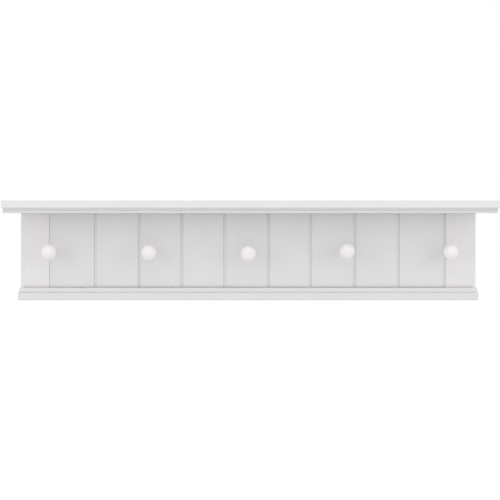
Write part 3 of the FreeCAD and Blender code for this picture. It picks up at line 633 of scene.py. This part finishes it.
def islands(node):
    """Middle across and lowest level of each separate solid of an upright fastener node."""
    spots = sorted((tuple(vert.co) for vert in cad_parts[node].data.vertices))
    groups = [[spots[0]]]
    for spot in spots[1:]:
        if spot[0] - groups[-1][-1][0] > FASTENER_GAP:
            groups.append([])
        groups[-1].append(spot)
    ends = []
    for members in groups:
        xs, ys, zs = zip(*members)
        ends.append(((min(xs) + max(xs)) / 2, (min(ys) + max(ys)) / 2, min(zs)))
    return ends


def make_base_board():
    low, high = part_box("base_board")
    bm = block(low, high)
    round_front_and_ends(bm, BASE_BOTTOM_ROUND, 6, low.z)
    round_front_and_ends(bm, BASE_TOP_ROUND, 4, high.z)
    ease(bm, BASE_EASE)
    bm = cut(bm, screw_cutters())
    finish_rail(bm, "base", ["base_board"], BASE_PAINT, BASE_SEED)


def make_end_cap(side, seed):
    node = f"{side}_end_cap"
    low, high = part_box(node)
    bm = block(low, high)
    outer = low.x if side == "left" else high.x

    def is_outer_front(middle, along):
        is_outer = abs(middle.x - outer) < SAME_PLACE
        return is_outer and is_upright(along) and middle.y < high.y - WALL_MARGIN

    round_some(bm, END_CAP_ROUND, 4, is_outer_front)
    ease(bm, END_CAP_EASE)
    slice_along(bm, Z_AXIS, END_CAP_SLICE)
    # The end cap's lighter paint is painted light at the end of the rack.
    paint = white_paint(f"paint_{node}", "z", seed, END_PAINT_WITH_PAINTED_LIGHT)
    pine = bare_pine(f"pine_{node}", "z", seed)
    add_piece(bm, [node, f"{side}_cap_pins"], paint, pine)


def board_section(number, low, high):
    """Corners of a board's section, seen from above, in order from its back left corner."""
    face = low.y
    back = high.y
    slot_back = back - BACK_CHEEK
    slot_front = slot_back - SLOT_WIDTH
    corners = [(low.x, back)]
    if number > 1:
        slot_end = low.x + SLOT_DEPTH
        corners += [(low.x, slot_back), (slot_end, slot_back)]
        corners += [(slot_end, slot_front), (low.x, slot_front)]
        corners += arc_points((low.x + BOARD_EASE, face + BOARD_EASE), BOARD_EASE, 180, 270, 4)
    else:
        corners.append((low.x, face))
    if number == BOARD_COUNT:
        return [*corners, (high.x, face), (high.x, back)]
    lip = high.x - TONGUE_LENGTH - JOINT_GAP
    shoulder = high.x - TONGUE_LENGTH - CHANNEL_WIDTH
    floor = face + CHANNEL_DEPTH
    play = (SLOT_WIDTH - TONGUE_THICKNESS) / 2
    corners += arc_points((shoulder - BOARD_EASE, face + BOARD_EASE), BOARD_EASE, 270, 360, 4)
    quirk = shoulder + QUIRK_WIDTH
    corners += [(shoulder, floor + QUIRK_DEPTH), (quirk, floor + QUIRK_DEPTH), (quirk, floor)]
    corners += [(lip, floor), (lip, slot_front + play), (high.x, slot_front + play)]
    corners += [(high.x, slot_back - play), (lip, slot_back - play), (lip, back)]
    return corners


def rebate_foot(bm, low, height):
    """Thins a board's foot from its face, from just above the bead down into the bead's slot."""
    shoulder = low.z + HOUSING_DEPTH + height
    upward = Vector((0, 0, 1))
    for level in (shoulder, shoulder - REBATE_STEP):
        everything = [*bm.verts, *bm.edges, *bm.faces]
        bmesh.ops.bisect_plane(
            bm, geom=everything, dist=SLICE_TOLERANCE, plane_co=upward * level, plane_no=upward
        )
    for vert in bm.verts:
        if vert.co.z < shoulder - REBATE_STEP / 2:
            vert.co.y = max(vert.co.y, low.y + REBATE_DEPTH)


def make_board(number):
    node = f"panel_board_{number:02d}"
    low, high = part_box(node)
    bm = bar(board_section(number, low, high), low.z, high.z, "z")
    ease(bm, BOARD_CORNER_EASE, steps=1, least_degrees=60)
    slice_along(bm, Z_AXIS, BOARD_SLICE)
    slice_along(bm, X_AXIS, BOARD_SLICE_ACROSS)
    is_at_end = number in (1, BOARD_COUNT)
    rebate_foot(bm, low, END_SHADOW_LINE if is_at_end else SHADOW_LINE)
    middle = (low.x + high.x) / 2
    half = (high.x - low.x) / 2
    face = low.y + SAME_PLACE
    cup = BOARD_HOLLOW if number % 2 else -BOARD_CROWN
    for vert in bm.verts:
        if vert.co.y < face:
            vert.co.y += cup * (1 - ((vert.co.x - middle) / half) ** 2)
    seed = BOARD_SEED + number
    bend(bm, BOARD_BEND, BOARD_WAVE, seed)
    # The end boards' lighter paint is painted light at the ends of the rack.
    tone = END_PAINT_WITH_PAINTED_LIGHT if is_at_end else BOARD_PAINT
    paint = white_paint(f"paint_board_{number:02d}", "z", seed, tone)
    add_piece(bm, [node], paint, bare_pine(f"pine_board_{number:02d}", "z", seed))


PEG_COLLAR_RIM = (PEG_COLLAR_RADIUS, -PEG_COLLAR_THICKNESS)
PEG_SHOULDER_MIDDLE = (PEG_HEAD_RADIUS - PEG_SHOULDER_RADIUS, -PEG_HEAD_MIDDLE)


def neck_centre():
    """Middle of the neck's arc, which starts at the collar's rim and meets the shoulder smoothly."""
    rim = Vector(PEG_COLLAR_RIM)
    from_rim = PEG_NECK_CURVE
    from_shoulder = PEG_NECK_CURVE + PEG_SHOULDER_RADIUS
    line = Vector(PEG_SHOULDER_MIDDLE) - rim
    length = line.length
    along = (from_rim**2 - from_shoulder**2 + length**2) / (2 * length)
    aside = math.sqrt(from_rim**2 - along**2)
    unit = line / length
    square = Vector((-unit.y, unit.x))
    choices = [rim + unit * along + square * aside, rim + unit * along - square * aside]
    return max(choices, key=lambda spot: spot.x)


def angle_from(centre, spot):
    return math.degrees(math.atan2(spot[1] - centre[1], spot[0] - centre[0]))


def peg_profile(tenon_length):
    """Radius and depth along a peg, from the middle of its face to the end of its tenon."""
    neck = neck_centre()
    shoulder = Vector(PEG_SHOULDER_MIDDLE)
    front = Vector((0, PEG_HEAD_RADIUS - PEG_REACH))
    meet = shoulder + (neck - shoulder).normalized() * PEG_SHOULDER_RADIUS
    front_meet = front + (shoulder - front).normalized() * PEG_HEAD_RADIUS
    front_angle = angle_from(front, front_meet)
    meet_angle = angle_from(shoulder, meet)
    neck_first = angle_from(neck, meet) % 360
    neck_last = angle_from(neck, PEG_COLLAR_RIM) % 360
    points = [(0, -PEG_REACH)]
    points += arc_points(front, PEG_HEAD_RADIUS, -90, front_angle, 26)[1:]
    points += arc_points(shoulder, PEG_SHOULDER_RADIUS, front_angle, meet_angle, 22)[1:]
    points += arc_points(neck, PEG_NECK_CURVE, neck_first, neck_last, 26)[1:-1]
    rim = PEG_COLLAR_RADIUS - PEG_COLLAR_EASE
    for level, first, last in ((-PEG_COLLAR_THICKNESS, 270, 360), (0, 0, 90)):
        inward = PEG_COLLAR_EASE if level < 0 else -PEG_COLLAR_EASE
        points += arc_points((rim, level + inward), PEG_COLLAR_EASE, first, last, 4)
    points += [(PEG_TENON_RADIUS, 0), (PEG_TENON_RADIUS, tenon_length), (0, tenon_length)]
    return points


def make_peg(number):
    node = f"peg_{number:02d}"
    low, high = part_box(node)
    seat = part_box(FULL_BOARD)[0].y
    middle = Vector(((low.x + high.x) / 2, seat, (low.z + high.z) / 2))
    bm = turned(peg_profile(high.y - seat), PEG_STEPS)
    seed = PEG_SEED + number
    for vert in bm.verts:
        if vert.co.y > -PEG_COLLAR_THICKNESS - PEG_TRUE_NECK:
            continue
        spot = vert.co / PEG_WAVE + Vector((seed * 2.3, seed, 0))
        radius = Vector((vert.co.x, 0, vert.co.z)).length
        swell = PEG_SWELL * noise.noise(spot)
        if radius > PEG_TRUE_TIP:
            vert.co.x += vert.co.x / radius * swell
            vert.co.z += vert.co.z / radius * swell
    bmesh.ops.rotate(bm, verts=bm.verts, matrix=Matrix.Rotation(number * PEG_TURN_RADIANS, 3, "Y"))
    bmesh.ops.translate(bm, verts=bm.verts, vec=middle)
    # The pegs' lighter paint is partly painted light.
    add_piece(bm, [node], white_paint(f"paint_{node}", "y", seed, PEG_PAINT_AND_PAINTED_LIGHT))


def dress_cad_nodes():
    """Gives the CAD nodes that stay their own materials."""
    for seed, node in enumerate(("top_batten", "peg_batten", "bottom_batten"), start=BATTEN_SEED):
        wear(node, bare_pine(f"pine_{node}", "x", seed))
    steel_nodes = (
        "left_hanger_plate",
        "right_hanger_plate",
        "board_screws",
        "shelf_screws",
        "base_screws",
        "hanger_screws",
    )
    for seed, node in enumerate(steel_nodes, start=STEEL_SEED):
        wear(node, zinc_steel(f"zinc_{node}", seed))


def wear(node, material):
    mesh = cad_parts[node].data
    mesh.materials.clear()
    mesh.materials.append(material)


# Stage, light and camera ------------------------------------------------------------------------

FLOOR_LEVEL = -1.3
FLOOR_RADIUS = 2.2
FLOOR_FADE_START = 0.45 * FLOOR_RADIUS
FLOOR_FADE_END = 0.98 * FLOOR_RADIUS
WORLD_LIGHT = 0.843
# Each light's name, power in watts, width and height, and place.
LIGHTS = (
    ("light_top", 10.0, (3.0, 1.4), (0.0, -1.5, 2.3)),
    ("light_high", 7.4, (3.0, 1.2), (0.0, -0.5, 2.4)),
    ("light_left", 9.0, (1.2, 1.6), (-2.4, -1.7, 0.4)),
    ("light_right", 9.0, (1.2, 1.6), (2.4, -1.7, 0.4)),
)
LIGHT_AIM = Vector((0, 0, -0.08))
CAMERA_SPOT = (0.0043, -3.132, -0.075)
CAMERA_LENS_MM = 90.28
SENSOR_MM = 36.0


def make_floor():
    bm = bmesh.new()
    bmesh.ops.create_circle(bm, cap_ends=True, radius=FLOOR_RADIUS, segments=96)
    floor = as_object(bm, "floor")
    floor.location.z = FLOOR_LEVEL
    nodes = Nodes("pale_floor")
    spots = nodes.add("ShaderNodeTexCoord").outputs["Object"]
    tone = nodes.noise(spots, 3, detail=2)
    pale = (0.9, 0.9, 0.9, 1)
    less_pale = (0.88, 0.88, 0.885, 1)
    nodes.feed(nodes.shader, "Base Color", nodes.blend(tone, pale, less_pale))
    nodes.shader.inputs["Roughness"].default_value = 0.7
    far = nodes.add("ShaderNodeVectorMath", {"operation": "LENGTH"}, Vector=spots).outputs["Value"]
    fade = nodes.between(far, 0, 1, FLOOR_FADE_START, FLOOR_FADE_END)
    clear = nodes.add("ShaderNodeBsdfTransparent")
    mix = nodes.add("ShaderNodeMixShader")
    nodes.feed(mix, "0", fade)
    nodes.feed(mix, "1", nodes.shader.outputs[0])
    nodes.feed(mix, "2", clear.outputs[0])
    nodes.tree.links.new(mix.outputs[0], nodes.output.inputs[0])
    floor.data.materials.append(nodes.material)


def make_world():
    """White all round: full white where it is seen, and somewhat less as a light."""
    world = bpy.data.worlds.new("studio")
    bpy.context.scene.world = world
    world.use_nodes = True
    tree = world.node_tree
    tree.nodes.clear()
    output = tree.nodes.new("ShaderNodeOutputWorld")
    seen = tree.nodes.new("ShaderNodeBackground")
    seen.inputs["Color"].default_value = (1, 1, 1, 1)
    seen.inputs["Strength"].default_value = 1.0
    lit = tree.nodes.new("ShaderNodeBackground")
    lit.inputs["Color"].default_value = (1, 1, 1, 1)
    lit.inputs["Strength"].default_value = WORLD_LIGHT
    rays = tree.nodes.new("ShaderNodeLightPath")
    mix = tree.nodes.new("ShaderNodeMixShader")
    tree.links.new(rays.outputs["Is Camera Ray"], mix.inputs[0])
    tree.links.new(lit.outputs[0], mix.inputs[1])
    tree.links.new(seen.outputs[0], mix.inputs[2])
    tree.links.new(mix.outputs[0], output.inputs[0])


def make_lights():
    for name, power, extent, spot in LIGHTS:
        lamp = bpy.data.lights.new(name, "AREA")
        lamp.shape = "RECTANGLE"
        lamp.size, lamp.size_y = extent
        lamp.energy = power
        item = bpy.data.objects.new(name, lamp)
        item.location = spot
        item.rotation_euler = (LIGHT_AIM - Vector(spot)).to_track_quat("-Z", "Y").to_euler()
        item.visible_camera = False
        bpy.context.scene.collection.objects.link(item)


def make_camera():
    camera = bpy.data.cameras.new("camera")
    camera.lens = CAMERA_LENS_MM
    camera.sensor_width = SENSOR_MM
    camera.clip_end = 50
    item = bpy.data.objects.new("camera", camera)
    item.location = CAMERA_SPOT
    item.rotation_euler = (math.radians(90), 0, 0)
    bpy.context.scene.collection.objects.link(item)
    bpy.context.scene.camera = item


make_shelf()
make_moulding()
make_cornice()
make_base_bead()
make_base_board()
for cap_side, cap_seed in END_CAP_SEEDS.items():
    make_end_cap(cap_side, cap_seed)
for board_number in range(1, BOARD_COUNT + 1):
    make_board(board_number)
for peg_number in range(1, PEG_COUNT + 1):
    make_peg(peg_number)
dress_cad_nodes()
make_floor()
make_world()
make_lights()
make_camera()
bpy.context.scene.view_settings.view_transform = "Standard"
bpy.context.scene.view_settings.look = "None"
